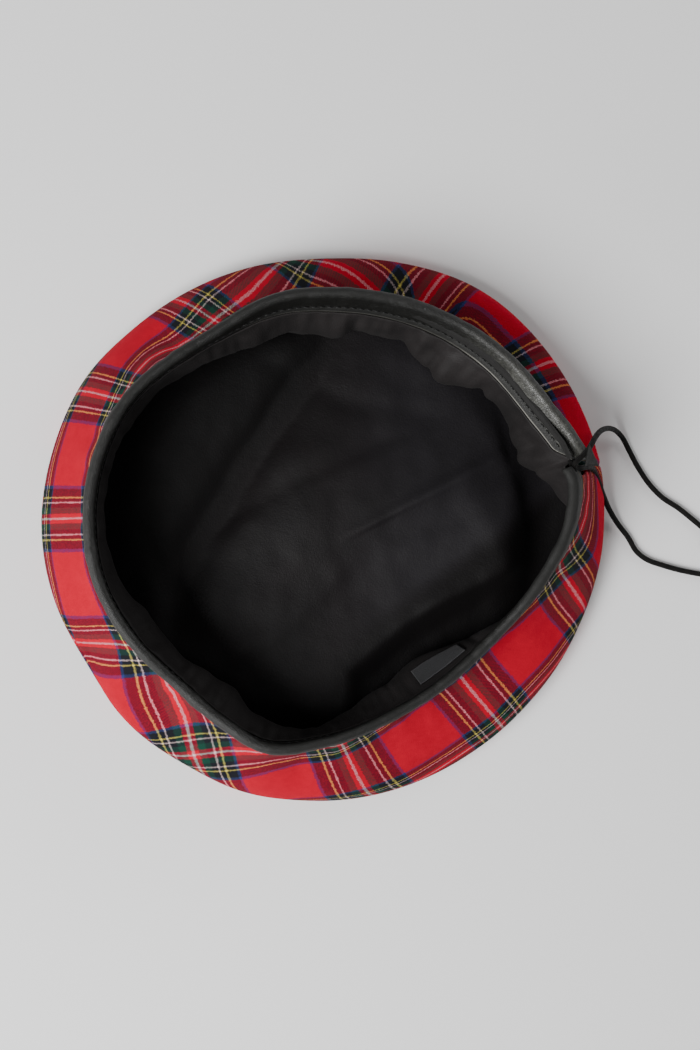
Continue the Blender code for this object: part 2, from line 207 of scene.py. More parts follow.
# The seam across the side cloth: its azimuth and half width in degrees, its depth in metres
SEAM_AZIMUTH = 13.0
SEAM_SPREAD = 0.42
SEAM_DIP = 0.0007

# The side lining: how far up the binding its edge starts, in metres, and the two middle points
# of its curve, inward as shares of its puff and down as shares of its drop
LINING_LAP = 0.0004
LINING_BULGE = ((0.8, 0.45), (1.8, 1.0))

# The binding: the azimuths of its two ends, how far its inner leaf is drawn up beside the joint
# as a share of BINDING_HEIGHT, over how many degrees, and the stitches' share of its width
BINDING_START = 14.9
BINDING_END = 373.8
PINCH = 0.42
PINCH_SPAN = 5.0
STITCH_ROW = 0.86

# The label's middle in degrees, and its top edge as a share of the side lining's line
LABEL_AZIMUTH = 308.5
LABEL_TOP = 0.06

# Corners of the turned-back tab: outward, onward round the hat and up from the place where the
# cords come out, as shares of BINDING_HEIGHT
TAB_CORNERS = ((0.49, 0.45, 0.24), (0.18, -0.18, 0.27), (0.66, -0.30, 0.08))

# Routes of the drawstring's two free ends, from the binding's mouth to the knot
UPPER_ROUTE = (
    (0.0991, 0.0218, 0.0525), (0.0988, 0.0238, 0.0528), (0.0999, 0.0260, 0.0530),
    (0.1024, 0.0283, 0.0525), (0.1053, 0.0309, 0.0512), (0.1078, 0.0338, 0.0485),
    (0.1104, 0.0366, 0.0443), (0.1136, 0.0393, 0.0386), (0.1175, 0.0416, 0.0314),
    (0.1220, 0.0433, 0.0232), (0.1268, 0.0443, 0.0150), (0.1318, 0.0440, 0.0076),
    (0.1362, 0.0415, 0.0030), (0.1392, 0.0370, 0.0015), (0.1416, 0.0325, 0.0013),
    (0.1441, 0.0280, 0.0013), (0.1490, 0.0208, 0.0013), (0.1553, 0.0145, 0.0013),
    (0.1630, 0.0096, 0.0013), (0.1706, 0.0037, 0.0013), (0.1762, -0.0010, 0.0015),
)
LOWER_ROUTE = (
    (0.0981, 0.0268, 0.0506), (0.0987, 0.0249, 0.0500), (0.1004, 0.0239, 0.0485),
    (0.1036, 0.0240, 0.0462), (0.1068, 0.0246, 0.0425), (0.1098, 0.0252, 0.0375),
    (0.1128, 0.0254, 0.0318), (0.1155, 0.0248, 0.0262), (0.1180, 0.0228, 0.0215),
    (0.1212, 0.0184, 0.0168), (0.1250, 0.0135, 0.0108), (0.1290, 0.0085, 0.0055),
    (0.1337, 0.0026, 0.0022), (0.1389, -0.0037, 0.0013), (0.1427, -0.0100, 0.0013),
    (0.1480, -0.0140, 0.0013), (0.1553, -0.0165, 0.0013), (0.1630, -0.0186, 0.0013),
    (0.1706, -0.0201, 0.0013), (0.1765, -0.0210, 0.0015),
)

# How the tartan lies round the side cloth. A row has an azimuth in degrees and then, for each
# of the two sets of stripes, the count of repeats at THREAD_LEVEL of the slant and how fast it
# changes below and above that level, in repeats for the whole slant. The change from one to
# the other is rounded over THREAD_TURN of the slant.
THREADS = (
    (13, -3.75, -0.50, -0.65, -3.78, -0.13, -0.13),
    (29.5, -3.77, -0.50, -0.80, -3.26, -0.16, -0.16),
    (39.5, -3.78, -0.50, -0.80, -2.94, -0.18, -0.18),
    (49, -3.78, -0.50, -0.80, -2.60, -0.18, -0.18),
    (56, -3.79, -0.50, -0.70, -2.36, -0.18, -0.18),
    (60.7, -3.72, -0.20, -0.30, -2.19, -0.18, -0.18),
    (65, -3.52, 0.20, 0.10, -2.05, -0.20, -0.20),
    (69.5, -3.29, 0.40, 0.40, -1.91, -0.20, -0.20),
    (74.5, -3.14, 0.44, 0.44, -1.79, -0.21, -0.21),
    (81.5, -3.02, 0.43, 0.43, -1.61, -0.24, -0.24),
    (88.5, -2.92, 0.45, 0.45, -1.42, -0.31, -0.31),
    (96.8, -2.82, 0.45, 0.45, -1.185, -0.40, -0.40),
    (107, -2.51, 0.38, 0.38, -0.99, -0.50, -0.46),
    (118, -2.12, 0.28, 0.28, -0.87, -0.75, -0.60),
    (127, -1.82, 0.23, 0.23, -0.75, -0.90, -0.90),
    (131, -1.67, 0.20, 0.20, -0.73, -1.00, -1.10),
    (136, -1.50, 0.18, 0.18, -0.715, -1.15, -1.40),
    (141.5, -1.33, 0.16, 0.16, -0.64, -1.20, -1.45),
    (148.8, -1.07, 0.12, 0.12, -0.50, -1.35, -1.35),
    (158.8, -0.71, 0.08, 0.08, -0.435, -1.17, -1.17),
    (168.9, -0.35, 0.04, 0.04, -0.405, -1.12, -1.12),
    (178.5, 0.00, 0.00, 0.00, -0.385, -1.10, -1.00),
    (189.8, 0.41, -0.11, -0.11, -0.40, -1.10, -1.00),
    (200, 0.76, -0.20, -0.20, -0.47, -0.95, -0.85),
    (207.4, 1.03, -0.25, -0.25, -0.575, -0.70, -0.60),
    (215, 1.25, -0.31, -0.31, -0.68, -0.60, -0.50),
    (222.3, 1.47, -0.36, -0.36, -0.775, -0.60, -0.50),
    (231.5, 1.77, -0.43, -0.43, -0.885, -0.46, -0.46),
    (240.7, 2.00, -0.49, -0.49, -1.06, -0.40, -0.40),
    (251, 2.22, -0.60, -0.60, -1.295, -0.35, -0.35),
    (257, 2.34, -0.80, -0.80, -1.45, -0.33, -0.33),
    (263.4, 2.45, -1.20, -1.10, -1.63, -0.32, -0.32),
    (271.5, 2.56, -1.30, -1.35, -1.85, -0.31, -0.31),
    (275.5, 2.60, -1.30, -1.25, -1.97, -0.30, -0.30),
    (287.5, 2.63, -1.30, -0.95, -2.30, -0.26, -0.26),
    (302.8, 2.70, -1.40, -0.90, -2.735, -0.15, -0.15),
    (311.4, 2.68, -1.55, -0.90, -3.00, -0.02, -0.02),
    (322.7, 2.69, -1.50, -0.90, -3.32, 0.11, 0.11),
    (334.5, 2.61, -1.30, -0.90, -3.66, 0.23, 0.23),
    (345.7, 2.44, -0.90, -0.70, -4.01, 0.32, 0.32),
    (355.3, 2.23, -0.70, -0.55, -4.30, 0.37, 0.37),
    (368.5, 2.27, -0.60, -1.00, -4.68, 0.42, 0.42),
    (373, 2.30, -0.60, -1.05, -4.80, 0.43, 0.43),
)
THREAD_LEVEL = 0.40
THREAD_TURN = 0.10

# One repeat of each set of stripes on the flat crown, in metres
FIRST_REPEAT = 0.054
SECOND_REPEAT = 0.061

# The stripes of one half of each set's repeat, from the middle of its narrow group, with
# widths that count only against each other
FIRST_STRIPES = (
    ("white", 9), ("red", 34), ("green", 54), ("black", 40), ("white", 14), ("black", 30),
    ("yellow", 15), ("black", 72), ("blue", 30), ("red", 288),
)
SECOND_STRIPES = (
    ("white", 10), ("red", 34), ("green", 58), ("black", 52), ("white", 14), ("black", 36),
    ("yellow", 16), ("black", 72), ("blue", 24), ("red", 266),
)

# How finely the side cloth is divided: rows up its slant and degrees between its cuts
SIDE_ROWS = 36
STEP = 1.0


def tone(red, green, blue):
    """A colour as linear red, green and blue, from its screen values out of 255."""
    def straight(value):
        value /= 255
        return value / 12.92 if value <= 0.04045 else ((value + 0.055) / 1.055) ** 2.4
    return (straight(red), straight(green), straight(blue))


def colour_property(name, description, *screen):
    return bpy.props.FloatVectorProperty(
        name=name, description=description, default=tone(*screen), subtype="COLOR", min=0, max=1,
    )


class TamSizes(bpy.types.PropertyGroup):
    """Sizes of the details that a user may change."""
    stitch_length: bpy.props.FloatProperty(
        name="Stitch length", description="Length of one stitch of the binding",
        default=0.0026, min=0.001, max=0.006, unit="LENGTH", subtype="DISTANCE",
    )
    stitch_width: bpy.props.FloatProperty(
        name="Stitch width", description="Thickness of the binding's sewing thread",
        default=0.0005, min=0.0002, max=0.001, unit="LENGTH", subtype="DISTANCE",
    )
    gather_depth: bpy.props.FloatProperty(
        name="Gather depth", description="Depth of the small gathers below the binding",
        default=0.0005, min=0.0, max=0.002, unit="LENGTH", subtype="DISTANCE",
    )
    wrinkle_depth: bpy.props.FloatProperty(
        name="Lining wrinkles", description="Depth of the fine wrinkles of the lining",
        default=0.0006, min=0.0, max=0.002, unit="LENGTH", subtype="DISTANCE",
    )


class TamColours(bpy.types.PropertyGroup):
    """Colours of the hat's materials."""
    red: colour_property("Red", "The tartan's ground", 176, 11, 38)
    green: colour_property("Green", "The tartan's broad dark stripe", 20, 58, 46)
    black: colour_property("Black", "The tartan's black stripes", 24, 25, 30)
    blue: colour_property("Blue", "The tartan's thin outer stripe", 42, 50, 100)
    yellow: colour_property("Yellow", "The tartan's yellow line", 200, 182, 84)
    white: colour_property("White", "The tartan's white lines", 205, 180, 178)
    lining: colour_property("Crown lining", "The black cotton over the crown", 11, 9, 10)
    # The side lining is the same black cotton as the crown lining, painted lighter: painted light where its
    # wall catches the lamp
    side_lining: colour_property("Side lining", "The black cotton below the binding", 22, 20, 20)
    leather: colour_property("Leather", "The binding", 19, 19, 17)
    cord: colour_property("Cord", "The drawstring", 10, 9, 8)
    label: colour_property("Label", "The bare care label", 48, 48, 50)
    floor: colour_property("Floor", "The surface it lies on", 250, 250, 250)


def sizes():
    return bpy.context.scene.tam_sizes


def colours():
    return bpy.context.scene.tam_colours


def along_table(table, azimuth, closed=True):
    """The columns of a table after its azimuths, at one azimuth, on a smooth curve."""
    if closed:
        azimuth %= 360
        rows = [(table[-1][0] - 360,) + table[-1][1:], *table]
        rows += [(row[0] + 360,) + row[1:] for row in table[:2]]
    else:
        rows = [table[0], *table, table[-1]]
        azimuth = min(max(azimuth, table[0][0]), table[-1][0])
    index = max(i for i in range(1, len(rows) - 2) if rows[i][0] <= azimuth)
    before, start, end, after = rows[index - 1:index + 3]
    span = end[0] - start[0]
    t = (azimuth - start[0]) / span
    values = []
    for column in range(1, len(start)):
        slope_start = (end[column] - before[column]) / (end[0] - before[0]) * span
        slope_end = (after[column] - start[column]) / (after[0] - start[0]) * span
        values.append(
            start[column] * (1 + 2 * t) * (1 - t) ** 2 + slope_start * t * (1 - t) ** 2
            + end[column] * t * t * (3 - 2 * t) + slope_end * t * t * (t - 1)
        )
    return values


def place(azimuth, reach, height):
    turn = math.radians(azimuth)
    return Vector((reach * math.cos(turn) - MIDDLE[0], reach * math.sin(turn) - MIDDLE[1], height))


def bezier(points, t):
    a, b, c, d = points
    return a * (1 - t) ** 3 + b * 3 * t * (1 - t) ** 2 + c * 3 * t * t * (1 - t) + d * t ** 3


def smooth(low, high, value):
    """0 below low, 1 above high and a soft step between."""
    t = min(1.0, max(0.0, (value - low) / (high - low)))
    return t * t * (3 - 2 * t)


def apart(a, b):
    """Degrees from b to a, from -180 to 180."""
    return (a - b + 180) % 360 - 180


def bumps(folds, azimuth, up):
    """The folds of a table added up at one place."""
    lift = 0.0
    for row in folds:
        fold = dict(zip(FOLD_COLUMNS, row))
        away = (apart(azimuth, fold["azimuth"]) / fold["spread"]) ** 2
        away += ((up - fold["up"]) / fold["span"]) ** 2
        lift += fold["height"] * math.exp(-away)
    return lift


def ripple(azimuth, height, round_scale, height_scale, seed):
    """Soft noise that closes round the hat, about -1 to 1."""
    turn = math.radians(azimuth)
    spot = Vector((math.cos(turn) * round_scale, math.sin(turn) * round_scale, height * height_scale + seed))
    return noise.noise(spot)


def binding_room():
    return CLOTH + 2 * BINDING_SLACK


class Section:
    """The hat cut at one azimuth: reach and height of the lines that the pieces follow."""

    def __init__(self, azimuth):
        crown, rim, lean, puff = along_table(SECTIONS, azimuth)
        self.azimuth = azimuth
        self.crown = crown * CROWN_REACH
        self.puff = puff * LINING_PUFF
        lean = math.radians(lean)
        self.up = Vector((math.sin(lean), math.cos(lean)))
        self.out = Vector((math.cos(lean), -math.sin(lean)))
        run = self.crown - rim * RIM_REACH
        rise = math.sqrt(max(SIDE_SLANT ** 2 - run ** 2, 0))
        self.base = Vector((rim * RIM_REACH, SEAM_HEIGHT + rise))

    def at(self, point):
        return place(self.azimuth, point.x, point.y)

    def side_path(self, up):
        """The smooth line of the side cloth at a share of its slant, and on into the binding."""
        if up > 1:
            return self.base + self.up * SIDE_SLANT * (up - 1)
        seam = Vector((self.crown, SEAM_HEIGHT))
        first = seam + Vector((0, SIDE_LEAVES_SEAM)) * SIDE_SLANT
        last = self.base - self.up * SIDE_MEETS_BINDING * SIDE_SLANT
        return bezier((seam, first, last, self.base), up)

    def side(self, up):
        """The middle of the side cloth with its dents, ridges and gathers."""
        step = 0.01
        way = self.side_path(up + step) - self.side_path(max(up - step, 0))
        outward = Vector((way.y, -way.x)).normalized()
        held = min(1.0, max(up, 0) / FOLDS_GROW) * min(1.0, max(0.0, (FOLDS_HELD - up) / FOLDS_RELEASE))
        lift = bumps(SIDE_FOLDS, self.azimuth, up) * held * SIDE_FOLD
        depth = sizes().gather_depth
        # Small gathers below the binding, then slow waves over the whole slant
        lift += (ripple(self.azimuth, up, 16, 1.2, 3.1) * depth * 1.6
                 * smooth(0.35, 0.85, up) * smooth(1.02, 0.9, up))
        lift += (ripple(self.azimuth, up, 5, 1.8, 9.7) * depth * 1.4
                 * smooth(0.0, 0.3, up) * smooth(1.0, 0.8, up))
        seam = apart(self.azimuth, SEAM_AZIMUTH)
        lift -= SEAM_DIP * math.exp(-(seam / SEAM_SPREAD) ** 2) * smooth(1.0, 0.93, up)
        return self.side_path(up) + outward * lift

    def leaf(self, share):
        """The middle of the leather at a share of its width, and its place up and across the binding.

        The share runs from the outer leaf's edge, over the fold, to the inner leaf's edge.
        """
        radius = (binding_room() + LEATHER) / 2
        leaf = BINDING_HEIGHT - radius - LEATHER / 2
        whole = 2 * leaf + math.pi * radius
        length = share * whole - max(0.0, 2 * share - 1) * self.pinch()
        if length <= leaf:
            along, across = length, radius
        elif length >= leaf + math.pi * radius:
            along, across = whole - length, -radius
        else:
            turn = (length - leaf) / radius
            along, across = leaf + radius * math.sin(turn), radius * math.cos(turn)
        return self.base + self.up * along + self.out * across, along, across

    def pinch(self):
        """How far the inner leaf's edge is drawn up beside the joint."""
        away = apart(self.azimuth, BINDING_START)
        return PINCH * BINDING_HEIGHT * (1 - smooth(0, PINCH_SPAN, away)) * smooth(-4.0, -1.5, away)

    def lining_path(self, share):
        """The smooth line of the side lining, from under the binding to the crown lining."""
        inner_face = binding_room() / 2 + LEATHER + LINING * 0.4
        top = self.base + self.up * (LINING_LAP + self.pinch()) - self.out * inner_face
        foot = Vector((LINING_REACH * self.crown, CLOTH + GAP + LINING + GAP + LINING / 2))
        drop = top.y - foot.y
        first, last = (top - Vector((inward * self.puff, down * drop)) for inward, down in LINING_BULGE)
        return bezier((top, first, last, foot), share)

    def lining(self, share, stand_off=0.0):
        """The side lining with its folds, or a place that stands off from its face."""
        way = self.lining_path(min(share + 0.01, 1)) - self.lining_path(max(share - 0.01, 0))
        inward = Vector((way.y, -way.x)).normalized()
        held = smooth(0.0, 0.12, share) * smooth(0.85, 0.6, share)
        lift = bumps(LINING_FOLDS, self.azimuth, share) * LINING_PUFF * held
        # The wrinkles stop at the sides of the label, in degrees from its middle
        depth = sizes().wrinkle_depth * smooth(9, 15, abs(apart(self.azimuth, LABEL_AZIMUTH)))
        gather = smooth(0.0, 0.03, share) * smooth(0.6, 0.1, share)
        lift += ripple(self.azimuth, share, 26, 2.0, 1.3) * depth * 1.6 * gather
        lift += ripple(self.azimuth, share, 9, 4.0, 5.2) * depth * 2.2 * held
        return self.lining_path(share) + inward * (lift + stand_off)


def finish_mesh(name, bm, board, wall=0.0):
    """Turns a bmesh into a piece on the origin, with its material and, on a sheet, its wall."""
    bmesh.ops.remove_doubles(bm, verts=bm.verts, dist=MERGE)
    bmesh.ops.recalc_face_normals(bm, faces=bm.faces)
    mesh = bpy.data.meshes.new(name)
    bm.to_mesh(mesh)
    bm.free()
    mesh.shade_smooth()
    mesh.materials.append(board.material)
    made = bpy.data.objects.new(name, mesh)
    bpy.context.scene.collection.objects.link(made)
    if wall:
        solid = made.modifiers.new("wall", "SOLIDIFY")
        solid.thickness = wall
        solid.offset = 0
        solid.use_even_offset = True
    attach(made, "root")
    return made


def bent_grid(columns, rows, bend, mark=None):
    """A flat grid bent by a function of its shares, with a UV map from another one."""
    bm = bmesh.new()
    bmesh.ops.create_grid(bm, x_segments=columns, y_segments=rows, size=0.5)
    shares = {vertex: (vertex.co.x + 0.5, vertex.co.y + 0.5) for vertex in bm.verts}
    if mark:
        layer = bm.loops.layers.uv.new("cloth")
        for face in bm.faces:
            for loop in face.loops:
                loop[layer].uv = mark(*shares[loop.vert])
    for vertex, (across, along) in shares.items():
        vertex.co = bend(across, along)
    return bm


def cuts_round(start, end, step=STEP, fine_ends=False):
    """Azimuths from start to end, closer together near both ends if asked."""
    count = round((end - start) / step)
    even = [start + (end - start) * k / count for k in range(count + 1)]
    if not fine_ends:
        return even
    near, clear = (0.2, 0.4, 0.6, 0.85, 1.2), 1.6
    middle = [a for a in even if start + clear < a < end - clear]
    return [start, *(start + a for a in near), *middle, *(end - a for a in reversed(near)), end]


def round_the_hat(cuts, rows, point, mark=None):
    """A sheet that runs round the hat, bent to a line of its sections."""
    sections = [Section(azimuth) for azimuth in cuts]
    last = len(cuts) - 1

    def bend(across, along):
        return point(sections[round(across * last)], along)

    def stamp(across, along):
        return mark(sections[round(across * last)], along)

    return bent_grid(last, rows, bend, stamp if mark else None)


def thread_spot(azimuth, up):
    """How many repeats of each set of stripes lie between the tartan's origin and this place."""
    row = along_table(THREADS, azimuth, closed=False)
    rise = up - THREAD_LEVEL
    below = (rise - math.hypot(rise, THREAD_TURN) + THREAD_TURN) / 2
    return [at + high * rise + (low - high) * below for at, low, high in (row[:3], row[3:])]


class Wire:
    """What leaves a node, as a value that sums in Python can use."""

    def __init__(self, board, made, output=0):
        self.board, self.made, self.output = board, made, output

    def other(self, output):
        return Wire(self.board, self.made, output)

    def sum(self, operation, *values):
        return self.board.node("ShaderNodeMath", {"operation": operation}, dict(enumerate(values)))

    def __add__(self, value):
        return self.sum("ADD", self, value)

    __radd__ = __add__

    def __sub__(self, value):
        return self.sum("SUBTRACT", self, value)

    def __rsub__(self, value):
        return self.sum("SUBTRACT", value, self)

    def __mul__(self, value):
        return self.sum("MULTIPLY", self, value)

    __rmul__ = __mul__

    def sine(self):
        return self.sum("SINE", self)

    def wave(self, half):
        """A triangle wave of this value, from 0 to half and back."""
        return self.sum("PINGPONG", self, half)

    def step(self, low, high):
        """0 below low, 1 above high and a soft step between."""
        return self.board.node(
            "ShaderNodeMapRange", {"interpolation_type": "SMOOTHSTEP"}, {0: self, 1: low, 2: high},
        )


class Board:
    """The nodes of one material."""

    def __init__(self, name, **shader):
        """Takes values for the shader's sockets, with _ for each space in a socket's name."""
        self.material = bpy.data.materials.new(name)
        self.material.use_nodes = True
        self.tree = self.material.node_tree
        self.shader = self.tree.nodes["Principled BSDF"]
        for socket, value in shader.items():
            self.shader.inputs[socket.replace("_", " ")].default_value = value

    def node(self, kind, settings=None, inputs=None, output=0):
        """A new node: its settings first, then the values or links of its sockets."""
        made = self.tree.nodes.new(kind)
        for name, value in (settings or {}).items():
            if name == "stops":
                ramp = made.color_ramp
                while len(ramp.elements) < len(value):
                    ramp.elements.new(1.0)
                for element, (position, colour) in zip(ramp.elements, value):
                    element.position = position
                    element.color = (*colour, 1)
            elif name == "ramp":
                made.color_ramp.interpolation = value
            else:
                setattr(made, name, value)
        for socket, value in (inputs or {}).items():
            if isinstance(value, Wire):
                self.tree.links.new(value.made.outputs[value.output], made.inputs[socket])
            else:
                made.inputs[socket].default_value = value
        return Wire(self, made, output)

    def feed(self, socket, value):
        self.tree.links.new(value.made.outputs[value.output], self.shader.inputs[socket])

    def blend(self, factor, one, two, way="MIX"):
        """A colour between two, or one painted over the other in another way."""
        one, two = ((*c, 1) if isinstance(c, tuple) and len(c) == 3 else c for c in (one, two))
        return self.node(
            "ShaderNodeMix", {"data_type": "RGBA", "blend_type": way}, {0: factor, 6: one, 7: two}, output=2,
        )

    def here(self):
        """The place on the piece, in metres."""
        return self.node("ShaderNodeTexCoord", output=3)

    def map(self):
        """The two numbers of the piece's own UV map."""
        spot = self.node("ShaderNodeUVMap", {"uv_map": "cloth"})
        parts = self.node("ShaderNodeSeparateXYZ", inputs={0: spot})
        return parts, parts.other(1)

    def noise(self, where, scale, detail=2.0, roughness=0.5):
        inputs = {"Vector": where, "Scale": scale, "Detail": detail, "Roughness": roughness}
        return self.node("ShaderNodeTexNoise", inputs=inputs)

    def stretched(self, where, x, y, z):
        return self.node("ShaderNodeMapping", inputs={0: where, 3: (x, y, z)})

    def relief(self, height, distance, strength=1.0, under=None):
        """Small relief from a height of 0 to 1, over another one if there is one."""
        inputs = {"Height": height, "Distance": distance, "Strength": strength}
        if under:
            inputs["Normal"] = under
        return self.node("ShaderNodeBump", inputs=inputs)


def colour_of(name):
    return tuple(getattr(colours(), name))


def scaled(colour, *shares):
    """A colour times one share, or times one share for each of its three values."""
    return tuple(c * share for c, share in zip(colour, shares * 3))


def stripe_stops(stripes):
    """The stops of a ramp over half a repeat, with the square root of each colour.

    Both sets are mixed as roots and squared after that, which is how dyed threads mix.
    """
    total = sum(width for name, width in stripes)
    stops, reached = [], 0
    for name, width in stripes:
        stops.append((reached / total, tuple(math.sqrt(c) for c in colour_of(name))))
        reached += width
    return stops


def tartan_board():
    """Brushed cotton twill in a tartan, its stripes along both sets of threads.

    Its UV map counts repeats of the two sets.
    """
    waver = 0.022
    ribs = 62
    board = Board(
        "tartan", Roughness=0.95, Sheen_Weight=0.02, Sheen_Roughness=0.6, Specular_IOR_Level=0.04,
    )
    where = board.here()
    fuzz = board.noise(where, 1500, 1.0)
    first, second = board.map()
    other_fuzz = board.noise(where, 1370, 1.0)
    sets = []
    for spot, stripes, loose in ((first, FIRST_STRIPES, fuzz), (second, SECOND_STRIPES, other_fuzz)):
        sets.append(board.node(
            "ShaderNodeValToRGB", {"ramp": "CONSTANT", "stops": stripe_stops(stripes)},
            {0: (spot + (loose - 0.5) * waver).wave(0.5) * 2},
        ))
    twill = ((first + second * (SECOND_REPEAT / FIRST_REPEAT)) * ribs).wave(0.5) * 2
    mask = 0.5 + (twill - 0.5) * 0.55 + (fuzz - 0.5) * 0.5
    root = board.blend(mask, *sets)
    cloth = board.blend(1.0, root, root, "MULTIPLY")
    mottle = board.noise(where, 230, 4.0, 0.65)
    nap = board.noise(where, 3000, 2.0)
    cloth = board.blend(1.0, cloth, 0.70 + mottle * 0.34 + nap * 0.26, "MULTIPLY")
    board.feed("Base Color", cloth)
    board.feed("Normal", board.relief(twill * 0.4 + nap * 0.8 + mottle * 0.5, 0.00025, 0.6))
    return board


def lining_board(name="lining", painted_crown_shading=True):
    """Thin black cotton with a plain weave and soft wrinkles.

    The one over the crown, with painted crown shading, has painted light in its middle: a paler bluish grey
    where the lamp falls.
    Straight lines part that from painted shadow and shade: one along the long crease, past which the rim's
    shadow is painted, one across the arc, past which the cloth falling away is painted darker, and two
    across the hat. The bare numbers in them are metres.
    """
    board = Board(
        name, Roughness=0.62, Sheen_Weight=0.01, Sheen_Roughness=0.5, Specular_IOR_Level=0.22,
    )
    where = board.here()
    threads = board.noise(board.stretched(where, 1.0, 3.0, 1.0), 900, 2.0)
    cross = board.noise(board.stretched(where, 3.0, 1.0, 1.0), 900, 2.0)
    creases = board.noise(where, 55, 5.0, 0.6)
    wide = board.noise(where, 18, 3.0)
    dark = colour_of(name)
    x = board.node("ShaderNodeSeparateXYZ", inputs={0: where})
    y = x.other(1)
    weave = 0.7 + (threads + cross) * 0.3
    spread = creases * 0.6 + wide * 0.7
    if painted_crown_shading:
        # Painted shadow past the long crease, painted shade past the arc, and painted light as a paler
        # bluish grey in the middle
        painted_shadow_beyond_crease = (y * 0.577 - x * 0.817 - 0.0413).step(-0.006, 0.012)
        painted_shade_beyond_arc = (x * 0.714 - y - 0.065).step(-0.014, 0.0)
        painted_light = x.step(-0.01, 0.045) * (1 - painted_shade_beyond_arc)
        brown, lit_grey = scaled(dark, 1.5, 1.2, 1.2), scaled(dark, 3.4, 3.7, 3.9)
        light = board.blend(painted_light, brown, lit_grey)
        spread = spread + painted_light * 0.25
        # The weave's tone carries the painted shadow and the painted shade as well
        weave = weave * (1 - painted_shadow_beyond_crease * 0.6) * (1 - x.step(-0.005, 0.01) * painted_shade_beyond_arc * 0.5)
    else:
        light = scaled(dark, 2.6)
    cloth = board.blend(spread.step(0.35, 0.95), dark, light)
    cloth = board.blend(1.0, cloth, weave, "MULTIPLY")
    board.feed("Base Color", cloth)
    under = board.relief(creases, 0.0012, 0.4)
    board.feed("Normal", board.relief(threads + cross, 0.0002, 0.5, under))
    return board


def leather_board():
    """Black leather with a fine grain, worn paler along its cut edges, and with a painted highlight on its
    inner leaf near the joint.

    Its UV map holds metres round the hat from azimuth 0, and the share of the strip's width
    from the outer leaf's edge to the inner one's.
    """
    board = Board("leather", Specular_IOR_Level=0.5)
    where = board.here()
    length, across = board.map()
    grain = board.node(
        "ShaderNodeTexVoronoi", {"feature": "DISTANCE_TO_EDGE"}, {"Vector": where, "Scale": 1100.0},
    )
    pores = board.noise(where, 2400, 2.0)
    creases = board.noise(board.stretched(where, 1.0, 1.0, 2.2), 260, 4.0, 0.6)
    cut = across.step(0.975, 0.99) * 0.8
    patchy = board.noise(where, 90, 3.0)
    rub = (cut + patchy * 0.3).step(0.2, 1.0)
    base = colour_of("leather")
    speckle = board.noise(where, 700, 3.0, 0.7)
    skin = board.blend(rub, base, scaled(base, 7))

    # The inner leaf's cut edge is pale, most of all near the joint
    near = 1 - length.step(0.075, 0.095)
    skin = board.blend(across.step(0.955, 0.968) * (near * 0.8 + 0.2), skin, tone(120, 118, 112))

    # The inner leaf is rubbed shiny near the joint, but for its low edge, and the far end is matt. The same
    # patch also carries a painted highlight, its colour lightened ninefold in speckles.
    inner = across.step(0.42, 0.60)
    rubbed_and_painted_highlight = length.step(0.024, 0.030) * (1 - length.step(0.060, 0.100)) * across.step(0.50, 0.57)
    low = across.step(0.82, 0.86)
    rubbed_and_painted_highlight = rubbed_and_painted_highlight * (1 - low * 0.9)
    matt = length.step(0.50, 0.54)
    board.feed("Roughness", 0.58 - inner * 0.2 + creases * 0.12 + low * 0.22 - rubbed_and_painted_highlight * 0.06 + matt * 0.2)

    # A thin brown line runs along the outer leaf
    seam = across.step(0.085, 0.095) * (1 - across.step(0.115, 0.125)) * 0.7
    skin = board.blend(seam, skin, tone(96, 80, 62))
    # Painted highlight: speckles of the rubbed patch lightened ninefold, standing in for the lamp's
    # reflection
    painted_highlight = rubbed_and_painted_highlight * (speckle + patchy * 0.5).step(0.35, 1.05)
    board.feed("Base Color", board.blend(painted_highlight, skin, scaled(base, 9)))
    fine = board.relief(grain.step(0.0, 0.12) * 0.6 + pores * 0.4, 0.00012, 0.8)
    board.feed("Normal", board.relief(creases, 0.0006, 0.5, fine))
    return board


def cord_board():
    """Tightly plaited round cotton cord. Its UV map holds metres along it and radians round it."""
    slope, strands = 520, 4
    board = Board("cord", Roughness=0.85, Sheen_Weight=0.02, Specular_IOR_Level=0.2)
    length, turn = board.map()
    right = ((length * slope) + turn * strands).sine()
    left = ((length * slope) - turn * strands).sine()
    plait = (right * left) * 0.5 + 0.5
    fuzz = board.noise(board.here(), 2600, 2.0)
    dark = colour_of("cord")
    light = (plait * 0.7 + fuzz * 0.4).step(0.2, 0.95)
    board.feed("Base Color", board.blend(light, dark, scaled(dark, 2.4)))
    board.feed("Normal", board.relief(plait * 0.8 + fuzz * 0.4, 0.0004, 0.9))
    return board


def cord_inside_board():
    """The cord where the binding hides it, on which no UV map is."""
    board = Board("cord_inside", Roughness=0.8)
    fuzz = board.noise(board.here(), 1400, 3.0)
    dark = colour_of("cord")
    board.feed("Base Color", board.blend(fuzz, dark, scaled(dark, 2)))
    board.feed("Normal", board.relief(fuzz, 0.0003, 0.7))
    return board


def thread_board():
    """Black sewing thread with a slight shine."""
    board = Board("sewing_thread", Roughness=0.5)
    fuzz = board.noise(board.here(), 3000, 2.0)
    board.feed("Base Color", board.blend(fuzz, tone(10, 10, 10), tone(34, 34, 34)))
    return board


